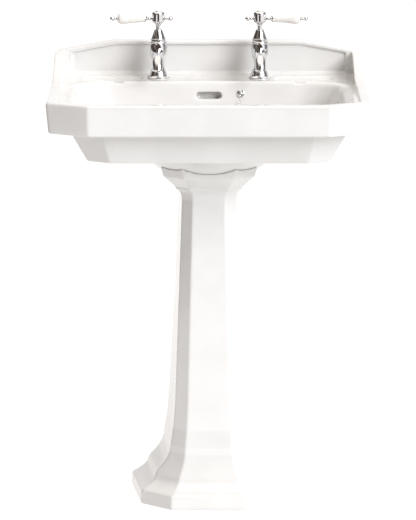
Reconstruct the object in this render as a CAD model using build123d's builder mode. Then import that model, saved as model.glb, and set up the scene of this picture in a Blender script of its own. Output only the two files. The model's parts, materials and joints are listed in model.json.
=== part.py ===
from build123d import *
import os
from math import acos, atan, cos, degrees, pi, radians, sin, sqrt, tan

# A pedestal sink: a vitreous china basin with an upstand at the wall, on a hollow pedestal,
# with a pair of quarter-turn pillar taps, a plug on a chain, and a bottle trap in the pedestal.
# Millimetres. +Z is up, X = 0 is the plane of symmetry, -Y is the front, the wall is at
# Y = WALL_Y and the floor at Z = 0.

# ---- Basin ------------------------------------------------------------------------------
WIDTH = 612.0
DEPTH = 480.0
RIM_Z = 818.0
FASCIA_HEIGHT = 60.0
FASCIA_TAPER = 4.5
FRONT_HALF = 226.0  # half the width of the straight front, between the cut corners
CORNER_DEPTH = 45.0  # how far the cut corners run back
LIP = 22.0  # flat band round the edge of the rim
LEDGE = 10.0  # from the lip to the bowl's rolled edge
SHELF_Z = RIM_Z - 4.5  # inside the lip, and the tap ledge
BOWL_BACK = 105.0
BOWL_FOOT_BACK = 72.0  # the bowl's sides lean in to here at their foot
BOWL_FLOOR_Z = 655.0
BODY_TOP_Z = 753.0  # the tapered body under the fascia
BODY_BOTTOM_Z = 697.0
BELLY_R = 190.0
BELLY_Y = 15.0
UPSTAND_FRONT = 205.0
UPSTAND_TOP_Z = 882.0
UPSTAND_CORNER_Z = 860.0
UPSTAND_TOP_HALF = 188.0
PANEL_DEPTH = 6.0
PANEL_ROLL = 8.5  # the roll left above the sunk panel
PANEL_SKIRTING = 5.0  # the strip left below it
WING = 22.0  # thickness of the side wings
DECK_UNDERSIDE_Z = 795.0
WALL_HOLE_X = 140.0
WALL_HOLE_Z = 745.0
WALL_HOLE_R = 6.0

# ---- Waste and overflow -----------------------------------------------------------------
WASTE_Y = 25.0
THROAT_R = 22.5
BOSS_BOTTOM_Z = 629.0
WASTE_TAIL_R = 20.9  # 1 1/4 inch thread
WASTE_BORE_R = 16.5
TAIL_END_Z = 566.0
PLUG_Z = BOWL_FLOOR_Z + 0.3
EYE_HOLE_Z = PLUG_Z + 7.0
EYE_R = 4.0
EYE_WIRE_R = 0.8
EYE_PIN_HOLE_R = 1.2
FLANGE_SEAT_R = 33.0
OVERFLOW_Z = 786.0
OVERFLOW_WIDTH = 50.0
OVERFLOW_HEIGHT = 13.0
DUCT_Y = 120.0  # middle of the overflow duct behind the bowl

# ---- Taps -------------------------------------------------------------------------------
TAP_X = 100.0
TAP_Y = 155.0
TAP_HOLE_R = 14.0
TAIL_R = 10.48  # 1/2 inch thread
TAIL_LENGTH = 66.0
LEVER_HEIGHT = 118.5  # the lever's axis over the tap ledge
SPOUT_REACH = 90.0
SPOUT_END = 30.0  # height of the nozzle's upper edge over the ledge
NOZZLE_R = 10.5
NOZZLE_BORE_R = 7.2
WATERWAY_R = 6.0
CHAMBER_R = 9.4  # the valve chamber in a tap's body
SPINDLE_R = 4.5
ROD_R = 2.0  # the steel rod through the lever's grip
ROD_START = 6.6
ROD_END = 83.6

# ---- Pedestal ---------------------------------------------------------------------------
PEDESTAL_BACK = 95.0
WALL = 12.0
LUG_X = 112.0
LUG_Y = 55.0
LUG_HOLE_R = 4.0
SEAT_GAP = 0.2  # between the pedestal's top and the belly

# ---- Chain ------------------------------------------------------------------------------
CHAIN_D = 3.6
STAY_X = 62.6
STAY_Z = 791.0
STAY_R = 2.9  # the stay's stem
STAY_HOLE_R = 3.2

# ---- Bottle trap ------------------------------------------------------------------------
OUTLET_Z = 522.0
OUTLET_BORE_R = 16.2
OUTLET_R = 19.0
OUTLET_END_Y = 88.0
TRAP_NECK_R = 23.9
TRAP_R = 31.0

# ---- Places that follow from these ------------------------------------------------------
WALL_Y = DEPTH / 2
FRONT_Y = -DEPTH / 2
SIDE_X = WIDTH / 2
DECK_Z = SHELF_Z
BOWL_WALL_TOP_Z = SHELF_Z - 20  # the bowl's flat sides lie between these two heights
BOWL_WALL_FOOT_Z = BOWL_FLOOR_Z - 5
BELLY_Z = BOSS_BOTTOM_Z + 4 + BELLY_R  # centre of the belly's sphere

# the chain stay stands square to the sloping back of the bowl
BACK_ANGLE = atan((BOWL_BACK - BOWL_FOOT_BACK) / (BOWL_WALL_TOP_Z - BOWL_WALL_FOOT_Z))
STAY_Y = BOWL_BACK - (BOWL_WALL_TOP_Z - STAY_Z) * tan(BACK_ANGLE)
STAY_PLANE = Plane(
    origin=(STAY_X, STAY_Y, STAY_Z),
    x_dir=(1, 0, 0),
    z_dir=(0, -cos(BACK_ANGLE), sin(BACK_ANGLE)),
)
STAY_SECTION = Plane(
    origin=(STAY_X, STAY_Y, STAY_Z),
    x_dir=(1, 0, 0),
    z_dir=(0, -sin(BACK_ANGLE), -cos(BACK_ANGLE)),
)
STAY_HOLE = STAY_PLANE.from_local_coords(Vector(0, 0, 6))


def save(part, label):
    """Name a finished piece and write its STEP file."""
    part.label = label
    export_step(part, f"parts/{label}.step")


def vertical(x, y, z=0.0):
    """The plane whose local x is a radius and whose local y is a height over z."""
    return Plane(origin=(x, y, z), x_dir=(1, 0, 0), z_dir=(0, -1, 0))


def cut_corner_plan(z, half_front, front, half_side, corner, back, front_r=0.0, back_r=0.0, half_back=None):
    """A plan outline at height z: a rectangle with its two front corners cut off."""
    rear = half_side if half_back is None else half_back
    with BuildSketch(Plane.XY.offset(z)) as plan:
        with BuildLine():
            Polyline(
                (-half_front, front),
                (half_front, front),
                (half_side, corner),
                (rear, back),
                (-rear, back),
                (-half_side, corner),
                close=True,
            )
        make_face()
        if front_r:
            fillet(plan.vertices().sort_by(Axis.Y)[:4], front_r)
        if back_r:
            fillet(plan.vertices().sort_by(Axis.Y)[-2:], back_r)
    return plan.sketch


def rim_plan(z, inset, back=WALL_Y, front_r=0.0, back_r=0.0):
    """The rim's outline, moved a distance inset inwards from the outer edge."""
    slope = CORNER_DEPTH / (SIDE_X - FRONT_HALF)
    front = FRONT_Y + inset
    side = SIDE_X - inset
    half_front = FRONT_HALF - inset * (sqrt(1 + slope**2) - 1) / slope
    corner = front + (side - half_front) * slope
    return cut_corner_plan(z, half_front, front, side, corner, back, front_r, back_r)


def ring(x, y, low, high, inner, outer, label):
    """A plain washer or sleeve on the vertical through (x, y)."""
    with BuildPart() as washer:
        with BuildSketch(Plane.XY.offset(low)):
            with Locations((x, y)):
                Circle(outer)
                Circle(inner, mode=Mode.SUBTRACT)
        extrude(amount=high - low)
    save(washer.part, label)


def hex_nut(x, y, low, high, inner, flat_radius, label):
    """A hexagonal nut on the vertical through (x, y), with its corners turned off."""
    with BuildPart() as nut:
        with BuildSketch(Plane.XY.offset(low)):
            with Locations((x, y)):
                RegularPolygon(flat_radius, 6, major_radius=False)
        extrude(amount=high - low)
        with BuildSketch(Plane.XY.offset(low)):
            with Locations((x, y)):
                Circle(flat_radius * 1.09)
        extrude(amount=high - low, mode=Mode.INTERSECT)
        with BuildSketch(Plane.XY.offset(low)):
            with Locations((x, y)):
                Circle(inner)
        extrude(amount=high - low, mode=Mode.SUBTRACT)
    save(nut.part, label)


# ---- Basin ------------------------------------------------------------------------------


def bowl_solid():
    """The space inside the bowl, from its rolled edge to the dish round the waste."""
    with BuildPart() as bowl:
        loft(
            [
                rim_plan(BOWL_WALL_TOP_Z, 52, BOWL_BACK, 30, 72),
                cut_corner_plan(BOWL_WALL_FOOT_Z, 155, -118, 190, -98, BOWL_FOOT_BACK, 38, 60),
            ],
            ruled=True,
        )
        # the floor is a gentle dish that steepens to a deeper one round the waste
        dish_half = 140
        dish_edge = BELLY_R - sqrt(BELLY_R**2 - dish_half**2)
        dish_turn = degrees(acos(1 - dish_edge / BELLY_R))
        with BuildSketch(vertical(0, WASTE_Y, BOWL_FLOOR_Z)):
            with BuildLine():
                Polyline((0, 0), (0, 150), (320, 150), (320, 127))
                ThreePointArc((320, 127), (230, 87), (dish_half, dish_edge))
                CenterArc((0, BELLY_R), BELLY_R, -90, dish_turn)
            make_face()
        revolve(axis=Axis((0, WASTE_Y, 0), (0, 0, 1)), mode=Mode.INTERSECT)
        # the rolled edge, up to the ledge inside the lip and open above it
        loft(
            [
                rim_plan(BOWL_WALL_TOP_Z, 52, BOWL_BACK, 30, 72),
                rim_plan(SHELF_Z - 10, 47, BOWL_BACK + 2.4, 32, 74),
                rim_plan(SHELF_Z - 4, 41, BOWL_BACK + 4.2, 35, 77),
                rim_plan(SHELF_Z, LIP + LEDGE, BOWL_BACK + 7, 38, 82),
            ],
            ruled=True,
        )
    return bowl.part


def outer_solid():
    """The basin's outside: rim, fascia, tapered body, belly and waste boss."""
    fascia_z = RIM_Z - FASCIA_HEIGHT
    with BuildPart() as outside:
        loft(
            [
                rim_plan(fascia_z, FASCIA_TAPER, WALL_Y, 7),
                rim_plan(RIM_Z - 7, 0, WALL_Y, 7),
                rim_plan(RIM_Z, 0, WALL_Y, 7),
            ],
            ruled=True,
        )
        rim_edge = outside.faces().sort_by(Axis.Z)[-1].edges()
        fillet(rim_edge.filter_by(lambda e: e.center().Y < WALL_Y - 1), 4)
        loft(
            [
                cut_corner_plan(fascia_z + 1, 207, -206, 270, -169, WALL_Y),
                cut_corner_plan(BODY_TOP_Z, 198, -196, 260, -160, WALL_Y),
            ],
            ruled=True,
        )
        loft(
            [
                cut_corner_plan(BODY_TOP_Z, 198, -196, 260, -160, WALL_Y),
                cut_corner_plan(BODY_BOTTOM_Z, 187, -168, 230, -141, WALL_Y),
            ],
            ruled=True,
        )
        # belly: the cap of a sphere, standing out under the body
        belly_top = BODY_BOTTOM_Z + 1
        belly_half = sqrt(BELLY_R**2 - (BELLY_Z - belly_top) ** 2)
        with BuildSketch(vertical(0, BELLY_Y, BELLY_Z)):
            with BuildLine():
                Line((0, -BELLY_R), (0, belly_top - BELLY_Z))
                Line((0, belly_top - BELLY_Z), (belly_half, belly_top - BELLY_Z))
                CenterArc((0, 0), BELLY_R, -90, degrees(acos((BELLY_Z - belly_top) / BELLY_R)))
            make_face()
        revolve(axis=Axis((0, BELLY_Y, 0), (0, 0, 1)))
        with BuildSketch(Plane.XY.offset(BOSS_BOTTOM_Z)):
            with Locations((0, WASTE_Y)):
                Circle(38)
        extrude(amount=30)
        # rib that holds the overflow duct
        with BuildSketch(Plane.YZ.offset(-30)):
            with BuildLine():
                Polyline(
                    (WASTE_Y, BOSS_BOTTOM_Z),
                    (DUCT_Y + 8, BOSS_BOTTOM_Z),
                    (DUCT_Y + 15, BOSS_BOTTOM_Z + 7),
                    (DUCT_Y + 15, DECK_UNDERSIDE_Z + 5),
                    (WASTE_Y, DECK_UNDERSIDE_Z + 5),
                    close=True,
                )
            make_face()
        extrude(amount=60)
    return outside.part


def upstand_solid():
    """The upstand at the wall, with clipped corners, and the wings that sweep down to the rim."""
    base = RIM_Z - 18
    with BuildPart() as upstand:
        with BuildSketch(Plane.XZ.offset(-WALL_Y)) as outline:
            with BuildLine():
                Polyline(
                    (-SIDE_X, base),
                    (SIDE_X, base),
                    (SIDE_X, UPSTAND_CORNER_Z),
                    (UPSTAND_TOP_HALF, UPSTAND_TOP_Z),
                    (-UPSTAND_TOP_HALF, UPSTAND_TOP_Z),
                    (-SIDE_X, UPSTAND_CORNER_Z),
                    close=True,
                )
            make_face()
            corners = outline.vertices().filter_by(lambda v: abs(v.X) > SIDE_X - 1)
            fillet(corners.group_by(Axis.Y)[-1], 12)
        extrude(amount=WALL_Y - UPSTAND_FRONT)
        front_edges = upstand.faces().sort_by(Axis.Y)[0].edges()
        fillet(front_edges.filter_by(lambda e: e.center().Z > RIM_Z + 10), 4)
        # sunk panel, leaving a roll along the top and a skirting along the ledge
        panel_half = SIDE_X - 34
        panel_corner_z = UPSTAND_CORNER_Z + 6 - PANEL_ROLL
        with BuildSketch(Plane.XZ.offset(-UPSTAND_FRONT)) as panel:
            with BuildLine():
                Polyline(
                    (-panel_half, DECK_Z + PANEL_SKIRTING),
                    (panel_half, DECK_Z + PANEL_SKIRTING),
                    (panel_half, panel_corner_z),
                    (UPSTAND_TOP_HALF - 2, UPSTAND_TOP_Z - PANEL_ROLL),
                    (2 - UPSTAND_TOP_HALF, UPSTAND_TOP_Z - PANEL_ROLL),
                    (-panel_half, panel_corner_z),
                    close=True,
                )
            make_face()
            fillet(panel.vertices(), 3)
        extrude(amount=-PANEL_DEPTH, mode=Mode.SUBTRACT)
        with BuildSketch(Plane.YZ.offset(SIDE_X - WING)):
            with BuildLine():
                Spline(
                    (0, RIM_Z - 1),
                    (40, RIM_Z + 1.5),
                    (71, RIM_Z + 5.5),
                    (108, RIM_Z + 16),
                    (140, RIM_Z + 27),
                    (167, RIM_Z + 36),
                    (UPSTAND_FRONT + 3, UPSTAND_CORNER_Z - 1),
                )
                Polyline(
                    (UPSTAND_FRONT + 3, UPSTAND_CORNER_Z - 1),
                    (UPSTAND_FRONT + 3, base),
                    (0, base),
                    (0, RIM_Z - 1),
                )
            make_face()
        extrude(amount=WING)
        mirror(about=Plane.YZ)
    return upstand.part


def cavity_solid(side):
    """The hollow under the tap ledge on one side of the overflow rib."""
    with BuildPart() as cavity:
        with BuildSketch(Plane.YZ.offset(38)):
            with BuildLine():
                Polyline(
                    (BOWL_BACK + 19, DECK_UNDERSIDE_Z),
                    (WALL_Y - 16, DECK_UNDERSIDE_Z),
                    (WALL_Y - 16, BODY_BOTTOM_Z - 40),
                    (BOWL_BACK - 8, BODY_BOTTOM_Z - 40),
                    close=True,
                )
            make_face()
        extrude(amount=174)
        if side < 0:
            mirror(about=Plane.YZ, mode=Mode.REPLACE)
    return cavity.part


def overflow_solid():
    """The slot in the bowl's back and the duct that leads from it to the waste."""
    with BuildPart() as passage:
        with BuildSketch(Plane.XZ.offset(-(BOWL_BACK - 20))):
            with Locations((0, OVERFLOW_Z)):
                SlotOverall(OVERFLOW_WIDTH, OVERFLOW_HEIGHT)
        extrude(amount=-(DUCT_Y + 4 - BOWL_BACK + 20))
        with BuildSketch(Plane.XY.offset(OVERFLOW_Z + 4)):
            with Locations((0, DUCT_Y)):
                Rectangle(40, 8)
        extrude(amount=-(OVERFLOW_Z + 4 - BOSS_BOTTOM_Z - 8))
        with BuildSketch(Plane.XY.offset(BOSS_BOTTOM_Z + 8)):
            with Locations((0, (WASTE_Y + DUCT_Y + 4) / 2)):
                Rectangle(24, DUCT_Y + 4 - WASTE_Y)
        extrude(amount=8)
    return passage.part


def make_basin():
    """The china basin in one piece, with every hole and hollow cut."""
    with BuildPart() as basin:
        add(outer_solid())
        add(upstand_solid())
        # the ledge inside the lip, running back to the upstand
        with BuildSketch(Plane.XY.offset(SHELF_Z)):
            add(rim_plan(0, LIP, UPSTAND_FRONT, 4))
        extrude(amount=100, mode=Mode.SUBTRACT)
        add(bowl_solid(), mode=Mode.SUBTRACT)
        add(cavity_solid(1), mode=Mode.SUBTRACT)
        add(cavity_solid(-1), mode=Mode.SUBTRACT)
        add(overflow_solid(), mode=Mode.SUBTRACT)
        # throat of the waste, and the seat of its flange
        with BuildSketch(Plane.XY.offset(BOSS_BOTTOM_Z)):
            with Locations((0, WASTE_Y)):
                Circle(THROAT_R)
        extrude(amount=40, mode=Mode.SUBTRACT)
        with BuildSketch(Plane.XY.offset(BOWL_FLOOR_Z - 4)):
            with Locations((0, WASTE_Y)):
                Circle(FLANGE_SEAT_R)
        extrude(amount=20, mode=Mode.SUBTRACT)
        # soap recesses, each with a drain notch to the bowl
        with BuildSketch(Plane.XY.offset(DECK_Z - 4.5)):
            with Locations((-190, 152), (190, 152)):
                RectangleRounded(116, 60, 16)
            with Locations((-178, 118), (178, 118)):
                Rectangle(19, 30)
        extrude(amount=10, mode=Mode.SUBTRACT)
        with BuildSketch(Plane.XY.offset(DECK_UNDERSIDE_Z - 5)):
            with Locations((-TAP_X, TAP_Y), (TAP_X, TAP_Y)):
                Circle(TAP_HOLE_R)
        extrude(amount=30, mode=Mode.SUBTRACT)
        with BuildSketch(Plane.XZ.offset(-WALL_Y)):
            with Locations((-WALL_HOLE_X, WALL_HOLE_Z), (WALL_HOLE_X, WALL_HOLE_Z)):
                Circle(WALL_HOLE_R)
        extrude(amount=20, mode=Mode.SUBTRACT)
        with BuildSketch(STAY_PLANE.offset(3)):
            Circle(STAY_HOLE_R)
        extrude(amount=-28, mode=Mode.SUBTRACT)
    save(basin.part, "basin")


# ---- Pedestal ---------------------------------------------------------------------------


def pedestal_levels():
    """Each level's height, half widths at the back, at the corners and in front, and front Y."""
    plinth = (155.0, 133.0, 73.0, -100.0)
    step = (122.0, 104.5, 57.5, -76.0)
    neck = (60.3, 52.5, 31.0, -45.0)
    bead = (67.0, 65.0, 37.5, -54.0)
    capital = (93.0, 88.0, 48.0, -86.0)

    def between(a, b, t):
        return tuple(p + (q - p) * t for p, q in zip(a, b))

    levels = [(0.0, *plinth), (25.0, *plinth)]
    levels.append((29.0, *between(plinth, step, 0.12)))
    # hollow flare up to the step
    for i in range(1, 6):
        t = i / 5
        levels.append((29.0 + 28.0 * t, *between(plinth, step, 0.12 + 0.88 * sin(t * pi / 2) ** 0.9)))
    low = (117.0, 100.0, 55.0, -73.0)
    shaft_foot = (91.0, 76.0, 46.0, -62.0)
    levels.append((65.0, *low))
    for i in range(1, 6):
        t = i / 5
        levels.append((65.0 + 47.0 * t, *between(low, shaft_foot, 1 - (1 - t) ** 1.9)))
    levels.append((150.0, 84.5, 70.0, 43.0, -57.5))
    levels.append((190.0, 80.7, 66.5, 41.0, -55.0))
    levels.append((410.0, 68.0, 59.0, 35.7, -49.0))
    # cove at the neck, a quarter round that turns outwards to a narrow bead
    levels.append((600.0, *neck))
    for i in range(1, 6):
        t = i / 5
        levels.append((600.0 + 24.0 * t, *between(neck, bead, 0.85 * (1 - sqrt(1 - t**2)))))
    levels.append((625.0, *bead))
    levels.append((628.5, *bead))
    # the capital slopes out from the bead and has an upright band under the belly
    levels.append((653.0, *capital))
    levels.append((700.0, 106.0, 101.0, 55.0, -100.0))
    return levels


def pedestal_plan(level, inset, behind):
    """One level's outline: front, two cut corners and two sides, moved inwards by inset."""
    z, back_x, corner_x, front_x, front_y = level
    slope = 0.833  # of the cut corners in plan
    cut = sqrt(1 + slope**2)
    corner_y = front_y + (corner_x - front_x) * slope
    lean = (back_x - corner_x) / (PEDESTAL_BACK - corner_y)
    # the cut corner is y = y_front + slope (x - x_front), the side x = x_side + lean (y - corner_y)
    y_front = front_y + inset
    x_front = front_x - inset * (cut - 1) / slope
    x_side = corner_x - inset * sqrt(1 + lean**2)
    y_corner = (y_front + slope * (x_side - lean * corner_y - x_front)) / (1 - slope * lean)
    x_corner = x_side + lean * (y_corner - corner_y)
    y_back = PEDESTAL_BACK + behind
    x_back = x_side + lean * (y_back - corner_y)
    return cut_corner_plan(z, x_front, y_front, x_corner, y_corner, y_back, half_back=x_back)


def make_pedestal():
    """The hollow china pedestal, open at the back, its top shaped to the basin's belly."""
    levels = pedestal_levels()
    with BuildPart() as pedestal:
        loft([pedestal_plan(level, 0, 0) for level in levels], ruled=True)
        loft([pedestal_plan(level, WALL, 30) for level in levels], ruled=True, mode=Mode.SUBTRACT)
        # lugs inside the foot for the floor screws
        with BuildSketch():
            with Locations((-LUG_X, LUG_Y), (LUG_X, LUG_Y)):
                Rectangle(50, 36)
        extrude(amount=16)
        with BuildSketch():
            with Locations((-LUG_X + 5, LUG_Y), (LUG_X - 5, LUG_Y)):
                Circle(LUG_HOLE_R)
        extrude(amount=16, mode=Mode.SUBTRACT)
        with BuildSketch(vertical(0, BELLY_Y, BELLY_Z)):
            with BuildLine():
                Polyline((0, -BELLY_R - SEAT_GAP), (0, 0), (BELLY_R + SEAT_GAP, 0))
                CenterArc((0, 0), BELLY_R + SEAT_GAP, -90, 90)
            make_face()
        revolve(axis=Axis((0, BELLY_Y, 0), (0, 0, 1)), mode=Mode.SUBTRACT)
    save(pedestal.part, "pedestal")


# ---- Waste, plug and chain --------------------------------------------------------------


def make_waste():
    """The slotted waste, its washers and back nut."""
    with BuildPart() as waste:
        with BuildSketch(vertical(0, WASTE_Y)) as section:
            with BuildLine():
                Polyline(
                    (WASTE_BORE_R, TAIL_END_Z),
                    (WASTE_TAIL_R, TAIL_END_Z),
                    (WASTE_TAIL_R, BOWL_FLOOR_Z - 3),
                    (32, BOWL_FLOOR_Z - 3),
                    (32, BOWL_FLOOR_Z - 1.2),
                    (29, BOWL_FLOOR_Z),
                    (20.5, BOWL_FLOOR_Z),
                    (18.6, BOWL_FLOOR_Z - 2),
                    (WASTE_BORE_R, BOWL_FLOOR_Z - 9),
                    close=True,
                )
            make_face()
        revolve(axis=Axis((0, WASTE_Y, 0), (0, 0, 1)))
        # overflow slots, front and back, and the cross that stops small things
        with BuildSketch(Plane.XY.offset(BOSS_BOTTOM_Z + 6)):
            with Locations((0, WASTE_Y)):
                Rectangle(12, 60)
        extrude(amount=12, mode=Mode.SUBTRACT)
        with BuildSketch(Plane.XY.offset(BOSS_BOTTOM_Z)):
            with Locations((0, WASTE_Y)):
                Rectangle(3, 2 * WASTE_BORE_R + 2)
                Rectangle(2 * WASTE_BORE_R + 2, 3)
        extrude(amount=4)
    save(waste.part, "waste")
    ring(0, WASTE_Y, BOWL_FLOOR_Z - 4, BOWL_FLOOR_Z - 3, WASTE_TAIL_R, 31, "waste_top_washer")
    ring(0, WASTE_Y, BOSS_BOTTOM_Z - 4, BOSS_BOTTOM_Z, WASTE_TAIL_R, 34, "waste_seal")
    ring(0, WASTE_Y, BOSS_BOTTOM_Z - 5.5, BOSS_BOTTOM_Z - 4, WASTE_TAIL_R, 32, "waste_slip_washer")
    hex_nut(0, WASTE_Y, BOSS_BOTTOM_Z - 15.5, BOSS_BOTTOM_Z - 5.5, WASTE_TAIL_R, 28, "waste_back_nut")


def make_plug():
    """The plug, its rubber seal and the eye that the chain hooks into."""
    with BuildPart() as plug:
        with BuildSketch(vertical(0, WASTE_Y)):
            with BuildLine():
                Polyline(
                    (0, PLUG_Z - 9),
                    (12.5, PLUG_Z - 9),
                    (12.5, PLUG_Z),
                    (19.5, PLUG_Z),
                )
                ThreePointArc((19.5, PLUG_Z), (20.3, PLUG_Z + 1.4), (19, PLUG_Z + 2.4))
                ThreePointArc((19, PLUG_Z + 2.4), (12, PLUG_Z + 3.8), (4.6, PLUG_Z + 4.2))
                Polyline((4.6, PLUG_Z + 4.2), (3.4, PLUG_Z + 4.6), (3.2, EYE_HOLE_Z))
                CenterArc((0, EYE_HOLE_Z), 3.2, 0, 90)
                Line((0, EYE_HOLE_Z + 3.2), (0, PLUG_Z - 9))
            make_face()
        revolve(axis=Axis((0, WASTE_Y, 0), (0, 0, 1)))
        # flats that leave a thin tab for the eye
        with BuildSketch(Plane.XY.offset(PLUG_Z + 4.6)):
            with Locations((-5.5, WASTE_Y), (5.5, WASTE_Y)):
                Rectangle(8, 12)
        extrude(amount=8, mode=Mode.SUBTRACT)
        with BuildSketch(Plane.YZ):
            with Locations((WASTE_Y, EYE_HOLE_Z)):
                Circle(EYE_PIN_HOLE_R)
        extrude(amount=8, both=True, mode=Mode.SUBTRACT)
    save(plug.part, "plug")
    with BuildPart() as seal:
        with BuildSketch(vertical(0, WASTE_Y)):
            with BuildLine():
                Polyline(
                    (12.5, PLUG_Z - 8),
                    (15.2, PLUG_Z - 8),
                    (16.2, PLUG_Z - 6.6),
                    (17.6, PLUG_Z - 1.2),
                    (17.6, PLUG_Z),
                    (12.5, PLUG_Z),
                    close=True,
                )
            make_face()
        revolve(axis=Axis((0, WASTE_Y, 0), (0, 0, 1)))
    save(seal.part, "plug_seal")
    with BuildPart() as eye:
        with BuildSketch(Plane.XY.offset(EYE_HOLE_Z + EYE_R)):
            with Locations((EYE_R, WASTE_Y)):
                Circle(EYE_WIRE_R)
        revolve(axis=Axis((0, WASTE_Y, EYE_HOLE_Z + EYE_R), (0, 1, 0)))
    save(eye.part, "plug_eye")


CHAIN_ROUTE = [
    (61.0, 93.5, 778.0),
    (58.5, 90.5, 762.0),
    (53.0, 86.0, 741.0),
    (43.5, 78.5, 717.0),
    (29.5, 66.0, 695.0),
    (14.0, 48.0, 680.0),
    (1.5, 29.5, 671.5),
]


def arc_radii(route):
    """The radius at each inner point: 0.45 of the shorter run over the tangent of half the turn."""
    radii = []
    for before, here, after in zip(route, route[1:], route[2:]):
        run_in = Vector(*here) - Vector(*before)
        run_out = Vector(*after) - Vector(*here)
        half_turn = radians(run_in.get_angle(run_out)) / 2
        radii.append(0.45 * min(run_in.length, run_out.length) / tan(half_turn))
    return radii


def make_chain():
    """The chain from its stay to the plug, as a plain tube of the links' width."""
    radii = arc_radii(CHAIN_ROUTE)
    print("chain radii", [round(r, 1) for r in radii])
    with BuildPart() as chain:
        with BuildLine() as path:
            FilletPolyline(*CHAIN_ROUTE, radius=radii)
        route = path.wires()[0]
        with BuildSketch(Plane(origin=route @ 0, z_dir=route % 0)):
            Circle(CHAIN_D / 2)
        sweep(path=route)
    length = route.length
    expected = pi * (CHAIN_D / 2) ** 2 * length
    print(f"chain length {length:.1f}, volume {chain.part.volume:.1f}, expected {expected:.1f}")
    save(chain.part, "chain")


def make_stay():
    """The chain stay: a turned boss through the back of the bowl, its nut, and its link."""
    with BuildPart() as stay:
        with BuildSketch(STAY_SECTION):
            with BuildLine():
                Polyline((0, -26), (STAY_R, -26), (STAY_R, 0), (8, 0), (8, 1.2))
                ThreePointArc((8, 1.2), (7.2, 2.3), (5.6, 2.8))
                Polyline((5.6, 2.8), (4.4, 3.4), (3.6, 6.0))
                CenterArc((0, 6), 3.6, 0, 90)
                Line((0, 9.6), (0, -26))
            make_face()
        revolve(axis=Axis(STAY_PLANE.origin, STAY_PLANE.z_dir))
        # flats that leave a thin tab for the link
        with BuildSketch(STAY_PLANE.offset(3.4)):
            with Locations((-5.5, 0), (5.5, 0)):
                Rectangle(8, 12)
        extrude(amount=8, mode=Mode.SUBTRACT)
        with BuildSketch(Plane.YZ.offset(STAY_X)):
            with Locations((STAY_HOLE.Y, STAY_HOLE.Z)):
                Circle(EYE_PIN_HOLE_R)
        extrude(amount=8, both=True, mode=Mode.SUBTRACT)
    save(stay.part, "chain_stay")
    with BuildPart() as link:
        with BuildSketch(Plane.XY.offset(STAY_HOLE.Z - EYE_R)):
            with Locations((STAY_X + EYE_R, STAY_HOLE.Y)):
                Circle(EYE_WIRE_R)
        revolve(axis=Axis((STAY_X, STAY_HOLE.Y, STAY_HOLE.Z - EYE_R), (0, 1, 0)))
    save(link.part, "stay_link")
    with BuildPart() as nut:
        with BuildSketch(STAY_PLANE.offset(-19)):
            RegularPolygon(5.5, 6, major_radius=False)
            Circle(STAY_R, mode=Mode.SUBTRACT)
        extrude(amount=-4)
    save(nut.part, "stay_nut")


# ---- Bottle trap ------------------------------------------------------------------------


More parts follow.
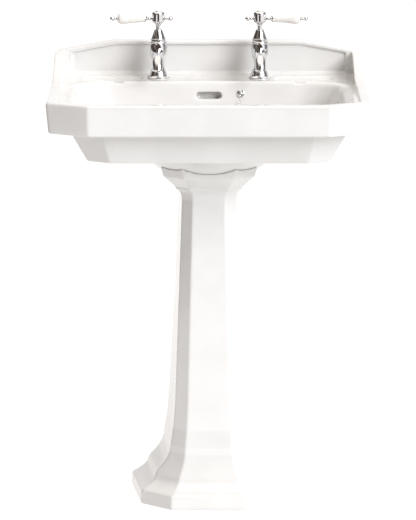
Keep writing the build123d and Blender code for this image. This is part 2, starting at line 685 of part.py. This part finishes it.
def make_trap():
    """The bottle trap that hangs on the waste, and the fittings of its two ends."""
    inlet_top = TAIL_END_Z - 3
    axis = Axis((0, WASTE_Y, 0), (0, 0, 1))
    ring(0, WASTE_Y, inlet_top, TAIL_END_Z, WASTE_BORE_R, TRAP_NECK_R, "trap_inlet_seal")
    with BuildPart() as inlet_nut:
        with BuildSketch(Plane.XY.offset(inlet_top - 14)):
            with Locations((0, WASTE_Y)):
                RegularPolygon(28, 8, major_radius=False)
        extrude(amount=37)
        with BuildSketch(Plane.XY.offset(inlet_top - 14)):
            with Locations((0, WASTE_Y)):
                Circle(TRAP_NECK_R)
        extrude(amount=17, mode=Mode.SUBTRACT)
        with BuildSketch(Plane.XY.offset(inlet_top - 14)):
            with Locations((0, WASTE_Y)):
                Circle(WASTE_TAIL_R)
        extrude(amount=40, mode=Mode.SUBTRACT)
    save(inlet_nut.part, "trap_inlet_nut")

    with BuildPart() as body:
        with BuildSketch(vertical(0, WASTE_Y)):
            with BuildLine():
                Polyline(
                    (14.5, 455),
                    (16.5, 455),
                    (16.5, 538),
                    (28.5, 538),
                    (28.5, 493),
                    (TRAP_R, 493),
                    (TRAP_R, 541),
                    (TRAP_NECK_R, 547),
                    (TRAP_NECK_R, inlet_top),
                    (WASTE_BORE_R, inlet_top),
                    (WASTE_BORE_R, 546),
                    (14.5, 544),
                    close=True,
                )
            make_face()
        revolve(axis=axis)
        with BuildSketch(Plane.XZ.offset(-(WASTE_Y + 27))):
            with Locations((0, OUTLET_Z)):
                Circle(OUTLET_R)
        extrude(amount=-(OUTLET_END_Y - WASTE_Y - 27))
        with BuildSketch(Plane.XZ.offset(-(WASTE_Y + 20))):
            with Locations((0, OUTLET_Z)):
                Circle(OUTLET_BORE_R)
        extrude(amount=-60, mode=Mode.SUBTRACT)
    save(body.part, "trap_body")

    ring(0, WASTE_Y, 490, 493, 28, TRAP_R, "trap_cup_seal")
    with BuildPart() as cup:
        with BuildSketch(vertical(0, WASTE_Y)):
            with BuildLine():
                Polyline(
                    (0, 432),
                    (27, 432),
                    (TRAP_R, 437),
                    (TRAP_R, 477),
                    (35, 480),
                    (35, 502),
                    (TRAP_R, 502),
                    (TRAP_R, 490),
                    (28, 490),
                    (28, 439),
                    (25, 435),
                    (0, 435),
                    close=True,
                )
            make_face()
        revolve(axis=axis)
    save(cup.part, "trap_cup")

    outlet_axis = Axis((0, 0, OUTLET_Z), (0, 1, 0))
    with BuildPart() as outlet_seal:
        with BuildSketch(Plane.XY.offset(OUTLET_Z)):
            with Locations(((OUTLET_BORE_R + OUTLET_R) / 2, OUTLET_END_Y + 1.5)):
                Rectangle(OUTLET_R - OUTLET_BORE_R, 3)
        revolve(axis=outlet_axis)
    save(outlet_seal.part, "trap_outlet_seal")
    with BuildPart() as outlet_nut:
        with BuildSketch(Plane.XY.offset(OUTLET_Z)):
            with BuildLine():
                Polyline(
                    (OUTLET_R, 70),
                    (24, 70),
                    (25, 72),
                    (25, 92),
                    (22.5, 95),
                    (OUTLET_BORE_R, 95),
                    (OUTLET_BORE_R, OUTLET_END_Y + 3),
                    (OUTLET_R, OUTLET_END_Y + 3),
                    close=True,
                )
            make_face()
        revolve(axis=outlet_axis)
    save(outlet_nut.part, "trap_outlet_nut")


# ---- Taps -------------------------------------------------------------------------------


def spout_line(x):
    """The middle line of a spout, out of the body, over, and down to its nozzle."""
    with BuildLine() as line:
        Spline(
            (x, TAP_Y, DECK_Z + 46),
            (x, TAP_Y - 32, DECK_Z + 50),
            (x, TAP_Y - 66, DECK_Z + 47),
            (x, TAP_Y - SPOUT_REACH, DECK_Z + SPOUT_END),
            tangents=[(0, -1, 0.2), (0, 0, -1)],
        )
    return line.line


def round_sections(line, stops):
    """A circle square to a line at each stop, a (place along the line, radius) pair."""
    sections = []
    for place, radius in stops:
        with BuildSketch(Plane(origin=line @ place, x_dir=(1, 0, 0), z_dir=line % place)) as section:
            Circle(radius)
        sections.append(section.sketch)
    return sections


def make_tap_body(x, name):
    """The cast body of a pillar tap: flange, waist, valve chamber, spout and threaded tail."""
    line = spout_line(x)
    nut_line = -31.5
    with BuildPart() as body:
        with BuildSketch(vertical(x, TAP_Y, DECK_Z)):
            with BuildLine():
                Polyline(
                    (0, -TAIL_LENGTH),
                    (TAIL_R, -TAIL_LENGTH),
                    (TAIL_R, nut_line),
                    (TAIL_R - 0.2, nut_line),
                    (TAIL_R - 0.2, 1.5),
                    (22, 1.5),
                    (22, 2.8),
                )
                Spline(
                    (22, 2.8),
                    (19, 5),
                    (16.6, 11),
                    (13.2, 18.5),
                    (10.9, 26),
                    (11.2, 33),
                    (12.8, 39),
                    (16.2, 48),
                    (17.2, 56),
                    (16.8, 62),
                    (16, 68),
                )
                Polyline((16, 68), (15.2, 68.6), (15.2, 70), (0, 70), (0, -TAIL_LENGTH))
            make_face()
        revolve(axis=Axis((x, TAP_Y, 0), (0, 0, 1)))
        loft(round_sections(line, [(0.06, 12.5), (0.3, 11.6), (0.55, 11.2), (0.8, 10.6), (1.0, 9.6)]))
        with BuildSketch(Plane.XY.offset(DECK_Z + SPOUT_END)):
            with Locations((x, TAP_Y - SPOUT_REACH)):
                Circle(NOZZLE_R)
        extrude(amount=-3)
        # nozzle mouth, valve chamber and tail bore, then the waterway that joins them
        with BuildSketch(Plane.XY.offset(DECK_Z + SPOUT_END + 2)):
            with Locations((x, TAP_Y - SPOUT_REACH)):
                Circle(NOZZLE_BORE_R)
        extrude(amount=-6, mode=Mode.SUBTRACT)
        with BuildSketch(Plane.XY.offset(DECK_Z + 44)):
            with Locations((x, TAP_Y)):
                Circle(CHAMBER_R)
        extrude(amount=30, mode=Mode.SUBTRACT)
        with BuildSketch(Plane.XY.offset(DECK_Z - TAIL_LENGTH)):
            with Locations((x, TAP_Y)):
                Circle(6.5)
        extrude(amount=TAIL_LENGTH + 46, mode=Mode.SUBTRACT)
        loft(
            round_sections(line, [(place, WATERWAY_R) for place in (0.04, 0.3, 0.55, 0.8, 1.0)]),
            mode=Mode.SUBTRACT,
        )
    save(body.part, name + "_tap_body")


def turned(x, profile, label):
    """A piece turned about a tap's axis; profile lists (radius, height over the ledge)."""
    with BuildPart() as piece:
        with BuildSketch(vertical(x, TAP_Y, DECK_Z)):
            with BuildLine():
                Polyline(*profile, close=True)
            make_face()
        revolve(axis=Axis((x, TAP_Y, 0), (0, 0, 1)))
    save(piece.part, label)


def make_tap_fixings(x, name):
    """What clamps a tap to the ledge."""
    ring(x, TAP_Y, DECK_Z, DECK_Z + 1.5, TAIL_R, 21, name + "_deck_washer")
    under = DECK_UNDERSIDE_Z - DECK_Z
    inner = TAIL_R - 0.2
    brim = [(inner, under - 4), (20, under - 4), (20, under), (13.7, under)]
    crown = [(13.7, under + 11), (inner, under + 11)]
    turned(x, brim + crown, name + "_tophat_washer")
    hex_nut(x, TAP_Y, DECK_Z - 31.5, DECK_UNDERSIDE_Z - 4, inner, 16, name + "_back_nut")


def make_tap_works(x, name):
    """The quarter-turn cartridge, its bonnet and the spindle that the lever turns."""
    with BuildPart() as cartridge:
        with BuildSketch(vertical(x, TAP_Y, DECK_Z)):
            with BuildLine():
                Polyline(
                    (0, 46),
                    (CHAMBER_R, 46),
                    (CHAMBER_R, 70),
                    (11.6, 70),
                    (11.6, 73),
                    (7.4, 73.5),
                    (7.4, 86),
                    (4.55, 86),
                    (4.55, 58),
                    (0, 58),
                    close=True,
                )
            make_face()
        revolve(axis=Axis((x, TAP_Y, 0), (0, 0, 1)))
        # port that faces the spout
        with BuildSketch(Plane.XZ.offset(-TAP_Y)):
            with Locations((x, DECK_Z + 51)):
                Circle(4)
        extrude(amount=12, mode=Mode.SUBTRACT)
    save(cartridge.part, name + "_cartridge")
    with BuildPart() as bonnet:
        with BuildSketch(vertical(x, TAP_Y, DECK_Z)):
            with BuildLine():
                Line((12, 70), (15.6, 70))
                ThreePointArc((15.6, 70), (16.5, 71.6), (15.7, 73.2))
                Polyline((15.7, 73.2), (14.4, 74.4), (14.2, 77.2))
                ThreePointArc((14.2, 77.2), (15.1, 78.3), (14, 79.4))
                Spline((14, 79.4), (12.2, 84), (10, 90), (7.6, 96.4))
                Polyline((7.6, 96.4), (6.6, 97.4), (4.9, 97.4), (4.9, 91.5))
                Polyline((4.9, 91.5), (7.8, 87), (10.2, 79), (12, 75), (12, 70))
            make_face()
        revolve(axis=Axis((x, TAP_Y, 0), (0, 0, 1)))
    save(bonnet.part, name + "_bonnet")
    spindle = [(0, 60), (SPINDLE_R, 60), (SPINDLE_R, 122), (1.6, 122), (1.6, 111), (0, 111)]
    turned(x, spindle, name + "_spindle")


def along_lever(x, way, profile, label):
    """A piece turned about a lever's axis; profile makes its half section as (distance, radius)."""
    origin = (x, TAP_Y, DECK_Z + LEVER_HEIGHT)
    with BuildPart() as piece:
        with BuildSketch(Plane(origin=origin, x_dir=(way, 0, 0), z_dir=(0, -way, 0))):
            with BuildLine():
                profile()
            make_face()
        revolve(axis=Axis(origin, (1, 0, 0)))
    save(piece.part, label)


def rod_profile():
    Polyline((ROD_START, 0), (ROD_END, 0), (ROD_END, ROD_R), (ROD_START, ROD_R), close=True)


def ferrule_profile():
    Polyline((26.6, ROD_R), (12.8, ROD_R), (12.8, 3.4), (13.6, 3.4), (14, 2.7), (15.6, 2.7))
    ThreePointArc((15.6, 2.7), (17.4, 4.1), (19.2, 2.7))
    Line((19.2, 2.7), (21.4, 2.7))
    Spline((21.4, 2.7), (22.4, 4.6), (24.2, 6.3), (26.6, 7.2))
    Line((26.6, 7.2), (26.6, ROD_R))


def grip_profile():
    Line((26.6, ROD_R), (26.6, 7))
    Spline((26.6, 7), (36, 7.6), (50, 8.7), (62, 10.1), (71, 10.9), (77, 9.1), (79.8, 4.8))
    Polyline((79.8, 4.8), (79.8, ROD_R), (26.6, ROD_R))


def finial_profile():
    Polyline((ROD_END, 0), (ROD_END, ROD_R), (79.8, ROD_R), (79.8, 4.8), (81, 5), (81.8, 3), (82.8, 2.5))
    ThreePointArc((82.8, 2.5), (84.4, 3.5), (86, 2.4))
    ball_start = 90.4 - sqrt(4.8**2 - 2.4**2)
    Line((86, 2.4), (ball_start, 2.4))
    CenterArc((90.4, 0), 4.8, 0, 180 - degrees(acos((90.4 - ball_start) / 4.8)))
    Line((95.2, 0), (ROD_END, 0))


def balance_profile():
    Polyline((ROD_START, 0), (ROD_START, ROD_R), (12.8, ROD_R), (12.8, 3.4))
    Polyline((12.8, 3.4), (13.6, 3.4), (14, 2.4), (15.2, 2.4))
    ThreePointArc((15.2, 2.4), (16.6, 3.6), (18, 2.2))
    ball_start = 23.8 - sqrt(5**2 - 2.2**2)
    Line((18, 2.2), (ball_start, 2.2))
    CenterArc((23.8, 0), 5, 0, 180 - degrees(acos((23.8 - ball_start) / 5)))
    Line((28.8, 0), (ROD_START, 0))


def make_lever(x, way, name):
    """The lever: a hub on the spindle, a porcelain grip on one side, a ball on the other."""
    with BuildPart() as hub:
        with BuildSketch(vertical(x, TAP_Y, DECK_Z)):
            with BuildLine():
                Line((SPINDLE_R, 105), (5.4, 105))
                Spline((5.4, 105), (7, 108.4), (11, 111.2), (12.5, 113.6))
                Polyline((12.5, 113.6), (12.6, 126), (12.1, 126.4), (12.1, 127), (12.6, 127.4))
                ThreePointArc((12.6, 127.4), (11.5, 130.8), (8.6, 132.6))
                Polyline((8.6, 132.6), (5, 132.9), (5, 125.5), (2.1, 125.5))
                Polyline((2.1, 125.5), (2.1, 122), (SPINDLE_R, 122), (SPINDLE_R, 105))
            make_face()
        revolve(axis=Axis((x, TAP_Y, 0), (0, 0, 1)))
        # blind holes for the two rods
        for direction in (-1, 1):
            with BuildSketch(Plane.YZ.offset(x + direction * ROD_START)):
                with Locations((TAP_Y, DECK_Z + LEVER_HEIGHT)):
                    Circle(ROD_R)
            extrude(amount=direction * 8, mode=Mode.SUBTRACT)
    save(hub.part, name + "_lever_hub")
    screw = [(0, 111.5), (1.6, 111.5), (1.6, 125.5), (4.2, 125.5), (4.2, 128), (0, 128)]
    turned(x, screw, name + "_lever_screw")
    with BuildPart() as button:
        with BuildSketch(vertical(x, TAP_Y, DECK_Z)):
            with BuildLine():
                Polyline((0, 128.2), (4.9, 128.2), (4.9, 133), (5.7, 133), (5.7, 133.6))
                Spline((5.7, 133.6), (4.9, 134.9), (2.9, 135.8), (0, 136), tangents=[(0, 1), (-1, 0)])
                Line((0, 136), (0, 128.2))
            make_face()
        revolve(axis=Axis((x, TAP_Y, 0), (0, 0, 1)))
    save(button.part, name + "_index_button")
    along_lever(x, way, rod_profile, name + "_lever_rod")
    along_lever(x, way, ferrule_profile, name + "_lever_ferrule")
    along_lever(x, way, grip_profile, name + "_lever_grip")
    along_lever(x, way, finial_profile, name + "_lever_finial")
    along_lever(x, -way, balance_profile, name + "_lever_balance")


os.makedirs("parts", exist_ok=True)
make_basin()
make_pedestal()
make_waste()
make_plug()
make_chain()
make_stay()
make_trap()
for side, tap in ((-1, "hot"), (1, "cold")):
    make_tap_body(side * TAP_X, tap)
    make_tap_fixings(side * TAP_X, tap)
    make_tap_works(side * TAP_X, tap)
    make_lever(side * TAP_X, side, tap)
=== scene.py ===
import json
import math

import bpy
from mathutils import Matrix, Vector


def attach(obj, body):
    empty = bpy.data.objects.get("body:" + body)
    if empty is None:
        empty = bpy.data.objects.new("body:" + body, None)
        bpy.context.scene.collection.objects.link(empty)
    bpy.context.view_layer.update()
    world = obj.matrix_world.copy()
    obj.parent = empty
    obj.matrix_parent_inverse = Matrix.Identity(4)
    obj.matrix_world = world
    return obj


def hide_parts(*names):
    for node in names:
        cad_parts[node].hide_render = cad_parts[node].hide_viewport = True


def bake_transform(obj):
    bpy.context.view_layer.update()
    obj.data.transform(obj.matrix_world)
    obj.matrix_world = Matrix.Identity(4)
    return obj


# The pedestal sink's looks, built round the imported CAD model. Metres, +Z up, -Y is the front.
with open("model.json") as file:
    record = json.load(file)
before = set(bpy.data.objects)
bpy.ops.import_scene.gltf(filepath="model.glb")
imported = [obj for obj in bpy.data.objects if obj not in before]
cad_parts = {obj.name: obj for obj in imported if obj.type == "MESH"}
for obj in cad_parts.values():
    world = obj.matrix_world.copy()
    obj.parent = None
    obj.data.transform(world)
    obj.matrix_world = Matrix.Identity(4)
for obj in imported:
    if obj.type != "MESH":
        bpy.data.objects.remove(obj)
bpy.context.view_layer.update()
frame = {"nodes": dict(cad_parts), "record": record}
nodes = frame["nodes"]
scene = bpy.context.scene

# ---- Camera -----------------------------------------------------------------------------

CAMERA_AT = (-0.002, -6.0, 1.7)
CAMERA_PITCH = 11.512  # degrees below the horizon
CAMERA_LENS = 217.3  # millimetres


def make_camera():
    data = bpy.data.cameras.new("camera")
    data.lens = CAMERA_LENS
    camera = bpy.data.objects.new("camera", data)
    camera.location = CAMERA_AT
    camera.rotation_euler = (math.radians(90 - CAMERA_PITCH), 0, 0)
    scene.collection.objects.link(camera)
    scene.camera = camera


# ---- Node helpers -----------------------------------------------------------------------


class Surface:
    """A material with a Principled shader, and short ways to add the nodes that vary it."""

    def __init__(self, name, **sockets):
        self.material = bpy.data.materials.new(name)
        self.material.use_nodes = True
        self.tree = self.material.node_tree
        self.shader = self.tree.nodes["Principled BSDF"]
        for socket, value in sockets.items():
            self.shader.inputs[socket.replace("_", " ")].default_value = value
        self.place = self.tree.nodes.new("ShaderNodeTexCoord").outputs["Object"]

    def add(self, kind, **settings):
        node = self.tree.nodes.new("ShaderNode" + kind)
        for name, value in settings.items():
            setattr(node, name, value)
        return node

    def link(self, output, target):
        self.tree.links.new(output, target)

    def noise(self, scale, detail=3.0, roughness=0.5, stretch=None):
        node = self.add("TexNoise")
        node.inputs["Scale"].default_value = scale
        node.inputs["Detail"].default_value = detail
        node.inputs["Roughness"].default_value = roughness
        source = self.place
        if stretch:
            mapping = self.add("Mapping")
            mapping.inputs["Scale"].default_value = stretch
            self.link(source, mapping.inputs["Vector"])
            source = mapping.outputs["Vector"]
        self.link(source, node.inputs["Vector"])
        return node.outputs["Fac"]

    def ramp(self, value, low, high, start=0.35, end=0.65):
        """A colour or grey that runs from low to high as value goes from start to end."""
        node = self.add("ValToRGB")
        node.color_ramp.elements[0].position = start
        node.color_ramp.elements[1].position = end
        for element, colour in zip(node.color_ramp.elements, (low, high)):
            if isinstance(colour, float):
                colour = (colour, colour, colour)
            element.color = (*colour, 1)
        self.link(value, node.inputs["Fac"])
        return node.outputs["Color"]

    def colour(self, output):
        self.link(output, self.shader.inputs["Base Color"])
        return self

    def roughness(self, output):
        self.link(output, self.shader.inputs["Roughness"])
        return self

    def bump(self, *layers):
        """Each layer is (height, strength, distance in metres)."""
        normal = None
        for height, strength, distance in layers:
            node = self.add("Bump")
            node.inputs["Strength"].default_value = strength
            node.inputs["Distance"].default_value = distance
            self.link(height, node.inputs["Height"])
            if normal:
                self.link(normal, node.inputs["Normal"])
            normal = node.outputs["Normal"]
        self.link(normal, self.shader.inputs["Normal"])
        return self


# ---- Materials --------------------------------------------------------------------------


def china():
    """White glaze over china: a faint mottle and the slow waves of a poured glaze."""
    s = Surface("vitreous_china", Coat_Weight=0.5, Coat_Roughness=0.03, IOR=1.5)
    s.colour(s.ramp(s.noise(14, 4), (0.695, 0.69, 0.683), (0.73, 0.726, 0.72)))
    s.roughness(s.ramp(s.noise(30, 5), 0.09, 0.15))
    s.bump((s.noise(38, 2), 0.12, 0.0006), (s.noise(420, 2), 0.05, 0.0001))
    return s.material


def porcelain():
    """The warmer white of the levers' grips and index buttons."""
    s = Surface("porcelain", Coat_Weight=0.7, Coat_Roughness=0.02, IOR=1.5)
    s.colour(s.ramp(s.noise(60, 4), (0.80, 0.785, 0.75), (0.86, 0.85, 0.82)))
    s.roughness(s.ramp(s.noise(90, 4), 0.07, 0.13))
    s.bump((s.noise(220, 2), 0.08, 0.0002))
    return s.material


def chrome(name="chrome", stretch=(1, 1, 1)):
    """Polished chrome plate: faint haze, wipe marks and soft ripples from the casting."""
    s = Surface(name, Metallic=1.0)
    s.colour(s.ramp(s.noise(55, 4), (0.66, 0.66, 0.67), (0.76, 0.76, 0.77)))
    s.roughness(s.ramp(s.noise(160, 6, 0.6, stretch), 0.035, 0.10))
    s.bump((s.noise(120, 2), 0.06, 0.0003))
    return s.material


def brass():
    s = Surface("brass", Metallic=1.0)
    s.colour(s.ramp(s.noise(90, 5), (0.62, 0.44, 0.18), (0.78, 0.60, 0.29)))
    s.roughness(s.ramp(s.noise(300, 4, 0.6, (1, 1, 8)), 0.22, 0.38))
    s.bump((s.noise(700, 3, 0.6, (1, 1, 10)), 0.15, 0.0001))
    return s.material


def steel():
    s = Surface("steel", Metallic=1.0)
    s.colour(s.ramp(s.noise(120, 4), (0.52, 0.53, 0.54), (0.66, 0.67, 0.68)))
    s.roughness(s.ramp(s.noise(400, 4, 0.6, (6, 1, 1)), 0.2, 0.34))
    s.bump((s.noise(900, 3), 0.1, 0.0001))
    return s.material


def rubber():
    s = Surface("rubber", IOR=1.5)
    s.colour(s.ramp(s.noise(150, 4), (0.018, 0.018, 0.018), (0.04, 0.04, 0.039)))
    s.roughness(s.ramp(s.noise(200, 3), 0.55, 0.75))
    s.bump((s.noise(1100, 3), 0.25, 0.0002))
    return s.material


def plastic():
    s = Surface("white_plastic", IOR=1.46)
    s.colour(s.ramp(s.noise(40, 4), (0.74, 0.74, 0.73), (0.80, 0.80, 0.79)))
    s.roughness(s.ramp(s.noise(120, 4), 0.26, 0.38))
    s.bump((s.noise(800, 2), 0.1, 0.0001))
    return s.material


MATERIALS = {
    "vitreous_china": china(),
    "porcelain": porcelain(),
    "chrome": chrome(),
    "chain_chrome": chrome("chain_chrome", (2, 2, 2)),
    "brass": brass(),
    "steel": steel(),
    "rubber": rubber(),
    "white_plastic": plastic(),
}
SLOT_OF = {s["node"]: s["material_slot"] for s in frame["record"]["subparts"]}


def finish_cad_nodes():
    """Each CAD node gets its slot's material."""
    for name, obj in nodes.items():
        obj.data.materials.clear()
        obj.data.materials.append(MATERIALS[SLOT_OF[name]])


# ---- Glazed china -----------------------------------------------------------------------

GLAZE_VOXEL = 0.0018  # metres
GLAZE_SMOOTHING = 0.5


def applied(obj):
    """Bake an object's modifiers into its mesh."""
    depsgraph = bpy.context.evaluated_depsgraph_get()
    mesh = bpy.data.meshes.new_from_object(obj.evaluated_get(depsgraph))
    obj.modifiers.clear()
    obj.data = mesh
    return obj


def glazed(node, passes, most_faces):
    """China fired from the CAD shape: every edge softened as a thick glaze leaves it."""
    obj = bpy.data.objects.new(node + "_glazed", nodes[node].data.copy())
    scene.collection.objects.link(obj)
    remesh = obj.modifiers.new("remesh", "REMESH")
    remesh.mode = "VOXEL"
    remesh.voxel_size = GLAZE_VOXEL
    smooth = obj.modifiers.new("smooth", "SMOOTH")
    smooth.factor = GLAZE_SMOOTHING
    smooth.iterations = passes
    applied(obj)
    triangles = 2 * len(obj.data.polygons)
    if triangles > most_faces:
        thin = obj.modifiers.new("thin", "DECIMATE")
        thin.ratio = most_faces / triangles
        applied(obj)
    obj.data.shade_smooth()
    obj.data.materials.clear()
    obj.data.materials.append(MATERIALS["vitreous_china"])
    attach(obj, "sink")
    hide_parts(node)
    return obj


# ---- The plug's chain -------------------------------------------------------------------

# The route of the chain in the CAD, from the link at the stay down to the plug's eye.
CHAIN_ROUTE = (
    (0.0610, 0.0935, 0.7780),
    (0.0585, 0.0905, 0.7620),
    (0.0530, 0.0860, 0.7410),
    (0.0435, 0.0785, 0.7170),
    (0.0295, 0.0660, 0.6950),
    (0.0140, 0.0480, 0.6800),
    (0.0015, 0.0295, 0.6715),
)
CURVE_STEPS = 48
LINK_PITCH = 0.0042
LINK_LENGTH = 0.0056
LINK_WIDTH = 0.0035
LINK_WIRE = 0.00045  # the wire's radius
LINK_AROUND = 20  # points round a link
LINK_RING = 8  # points round its wire
LINK_TWIST = 20  # degrees, before every second link turns by a right angle


def chain_line():
    """Points along the chain, read from a smooth curve over its route."""
    curve = bpy.data.curves.new("chain_route", "CURVE")
    curve.dimensions = "3D"
    curve.resolution_u = CURVE_STEPS
    spline = curve.splines.new("NURBS")
    spline.points.add(len(CHAIN_ROUTE) - 1)
    for point, place in zip(spline.points, CHAIN_ROUTE):
        point.co = (*place, 1)
    spline.order_u = 3
    spline.use_endpoint_u = True
    holder = bpy.data.objects.new("chain_route", curve)
    scene.collection.objects.link(holder)
    mesh = bpy.data.meshes.new_from_object(holder)
    line = [Vector(vertex.co) for vertex in mesh.vertices]
    bpy.data.objects.remove(holder)
    bpy.data.curves.remove(curve)
    bpy.data.meshes.remove(mesh)
    return line


def walk(line, pitch):
    """Evenly spaced places along a line, each with the way it runs there."""
    lengths = [0.0]
    for a, b in zip(line, line[1:]):
        lengths.append(lengths[-1] + (b - a).length)
    count = int(lengths[-1] / pitch)
    step = lengths[-1] / count
    places = []
    for i in range(count):
        along = (i + 0.5) * step
        k = max(n for n in range(len(line) - 1) if lengths[n] <= along)
        a, b = line[k], line[k + 1]
        part = (along - lengths[k]) / (lengths[k + 1] - lengths[k])
        places.append((a.lerp(b, part), (b - a).normalized()))
    return places


def add_link(points, faces, middle, way, turn):
    """One oval wire link, centred on middle, lying along way and turned about it."""
    reach_along = LINK_LENGTH / 2 - LINK_WIRE
    reach_across = LINK_WIDTH / 2 - LINK_WIRE
    side = way.cross(Vector((0, 1, 0.3))).normalized()
    across = side * math.cos(turn) + way.cross(side) * math.sin(turn)
    normal = way.cross(across)
    start = len(points)
    for i in range(LINK_AROUND):
        angle = math.tau * i / LINK_AROUND
        out = way * math.cos(angle) * reach_along + across * math.sin(angle) * reach_across
        outward = out.normalized()
        for j in range(LINK_RING):
            angle = math.tau * j / LINK_RING
            wire = (outward * math.cos(angle) + normal * math.sin(angle)) * LINK_WIRE
            points.append(middle + out + wire)
    for i in range(LINK_AROUND):
        here = start + i * LINK_RING
        there = start + (i + 1) % LINK_AROUND * LINK_RING
        for j in range(LINK_RING):
            k = (j + 1) % LINK_RING
            faces.append((here + j, there + j, there + k, here + k))


def make_chain():
    """The chain, in alternating oval links from the stay's link to the plug's eye."""
    line = chain_line()
    points, faces = [], []
    for i, (middle, way) in enumerate(walk(line, LINK_PITCH)):
        add_link(points, faces, middle, way, math.radians(90 * (i % 2) + LINK_TWIST))
    mesh = bpy.data.meshes.new("chain_links")
    mesh.from_pydata(points, [], faces)
    mesh.update()
    mesh.shade_smooth()
    links = bpy.data.objects.new("chain_links", mesh)
    scene.collection.objects.link(links)
    mesh.materials.append(MATERIALS["chain_chrome"])
    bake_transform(links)
    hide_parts("chain")


# ---- Light and floor --------------------------------------------------------------------

FLOOR_SIZE = 60.0
FLOOR_GLOW = 0.94


def make_floor():
    """A wide pale floor that glows evenly, so that no shadow shows and undersides are lit."""
    bpy.ops.mesh.primitive_plane_add(size=FLOOR_SIZE)
    floor = bpy.context.object
    floor.name = "floor"
    s = Surface("floor", IOR=1.4)
    s.colour(s.ramp(s.noise(2, 3), (0.11, 0.11, 0.11), (0.13, 0.13, 0.13)))
    s.roughness(s.ramp(s.noise(5, 3), 0.75, 0.85))
    s.shader.inputs["Specular IOR Level"].default_value = 0.05
    s.shader.inputs["Emission Color"].default_value = (1, 0.98, 0.96, 1)
    s.shader.inputs["Emission Strength"].default_value = FLOOR_GLOW
    floor.data.materials.append(s.material)


def add_flag(name, middle, width, height, turn):
    """A dark card that stands outside the picture: it gives the chrome its dark stripes and
    keeps the floor's glow off one side."""
    bpy.ops.mesh.primitive_plane_add(size=1, location=middle)
    card = bpy.context.object
    card.name = name
    card.scale = (width, height, 1)
    card.rotation_euler = (math.radians(90), 0, math.radians(turn))
    card.visible_camera = False
    s = Surface(name, Roughness=0.9)
    s.colour(s.ramp(s.noise(3, 3), (0.05, 0.036, 0.028), (0.06, 0.044, 0.034)))
    card.data.materials.append(s.material)


def add_sun(name, direction, strength, colour, spread):
    """A distant lamp whose light travels along direction."""
    data = bpy.data.lights.new(name, "SUN")
    data.energy = strength
    data.color = colour
    data.angle = math.radians(spread)
    lamp = bpy.data.objects.new(name, data)
    lamp.rotation_euler = Vector(direction).to_track_quat("-Z", "Y").to_euler()
    scene.collection.objects.link(lamp)


# Level bands of the studio, by bearing in turns: 0.25 is the front, 0.5 the right, 0 the left.
STUDIO = (
    (0.0, (0.07, 0.058, 0.048)),
    (0.05, (0.07, 0.058, 0.048)),
    (0.09, (0.24, 0.22, 0.20)),
    (0.14, (0.24, 0.22, 0.20)),
    (0.165, (0.10, 0.075, 0.06)),
    (0.335, (0.09, 0.07, 0.055)),
    (0.36, (1.2, 1.2, 1.21)),
    (0.43, (1.2, 1.2, 1.21)),
    (0.47, (0.22, 0.21, 0.23)),
    (0.60, (0.22, 0.21, 0.23)),
    (0.67, (1.0, 1.0, 1.0)),
    (0.83, (1.0, 1.0, 1.0)),
    (0.90, (0.07, 0.058, 0.048)),
)
CEILING = (1.46, 1.36, 1.27)
CEILING_START = 0.55  # sines of the heights between which the bands give way to the ceiling
CEILING_FULL = 0.80


def make_world():
    """A room for the chrome to mirror: dark behind the camera, tall soft boxes, a white ceiling."""
    world = bpy.data.worlds.new("studio")
    scene.world = world
    world.use_nodes = True
    tree = world.node_tree

    def add(kind, **settings):
        node = tree.nodes.new("ShaderNode" + kind)
        for name, value in settings.items():
            setattr(node, name, value)
        return node

    split = add("SeparateXYZ")
    tree.links.new(add("TexCoord").outputs["Generated"], split.inputs[0])
    bearing = add("Math", operation="ARCTAN2")
    tree.links.new(split.outputs["Y"], bearing.inputs[0])
    tree.links.new(split.outputs["X"], bearing.inputs[1])
    turns = add("Math", operation="MULTIPLY_ADD")
    tree.links.new(bearing.outputs[0], turns.inputs[0])
    turns.inputs[1].default_value = 1 / math.tau
    turns.inputs[2].default_value = 0.5
    bands = add("ValToRGB")
    while len(bands.color_ramp.elements) < len(STUDIO):
        bands.color_ramp.elements.new(0.5)
    for element, (place, colour) in zip(bands.color_ramp.elements, STUDIO):
        element.position = place
        element.color = (*colour, 1)
    tree.links.new(turns.outputs[0], bands.inputs["Fac"])
    height = add("ValToRGB")
    height.color_ramp.elements[0].position = CEILING_START
    height.color_ramp.elements[1].position = CEILING_FULL
    tree.links.new(split.outputs["Z"], height.inputs["Fac"])
    mix = add("Mix", data_type="RGBA")
    tree.links.new(height.outputs["Color"], mix.inputs["Factor"])
    tree.links.new(bands.outputs["Color"], mix.inputs["A"])
    mix.inputs["B"].default_value = (*CEILING, 1)
    tree.links.new(mix.outputs["Result"], tree.nodes["Background"].inputs["Color"])
    tree.nodes["Background"].inputs["Strength"].default_value = 1.0


def make_light():
    make_world()
    add_flag("front_flag", (0, -3.5, 0.45), 2.1, 0.9, 0)
    add_flag("left_flag", (-2.4, -0.4, 0.55), 4.5, 1.1, 90)
    add_sun("key", (-0.57, 0.70, -0.44), 2.7, (0.965, 0.98, 1.0), 30)
    scene.view_settings.view_transform = "Standard"


finish_cad_nodes()
glazed("basin", 10, 190000)
glazed("pedestal", 9, 150000)
make_chain()
make_camera()
make_floor()
make_light()
